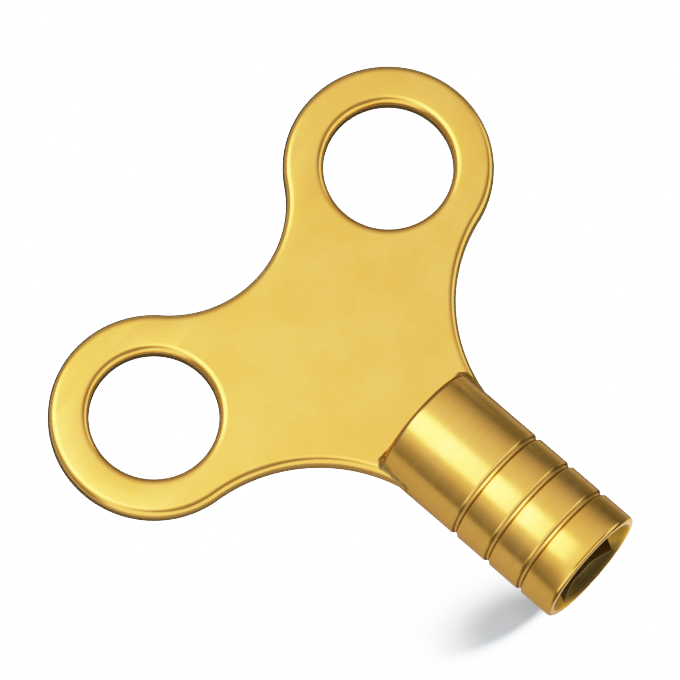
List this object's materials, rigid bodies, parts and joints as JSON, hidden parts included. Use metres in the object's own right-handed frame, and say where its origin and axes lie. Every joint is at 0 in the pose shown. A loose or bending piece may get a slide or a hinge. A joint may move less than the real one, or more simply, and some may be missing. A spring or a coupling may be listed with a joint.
{
  "type": "radiator bleed key",
  "caption": "Brass clock-pattern radiator bleed key: a grooved round barrel with a square socket, brazed to a flat two-loop wing plate.",
  "frame": {"origin": "centre of the barrel's mouth, on the barrel's axis", "axes": "+Y along the barrel's axis from the mouth towards the wing plate, +X across the two loops, +Z square to the wing plate's face"},
  "size_m": [0.0394, 0.0374, 0.009],
  "materials": {
    "turned_brass": "polished",
    "satin_brass": "satin",
    "brazing_metal": "as brazed"
  },
  "bodies": {
    "root": {"barrel": "turned_brass", "wing_plate": "satin_brass", "braze_joint": "brazing_metal"}
  },
  "joints": []
}
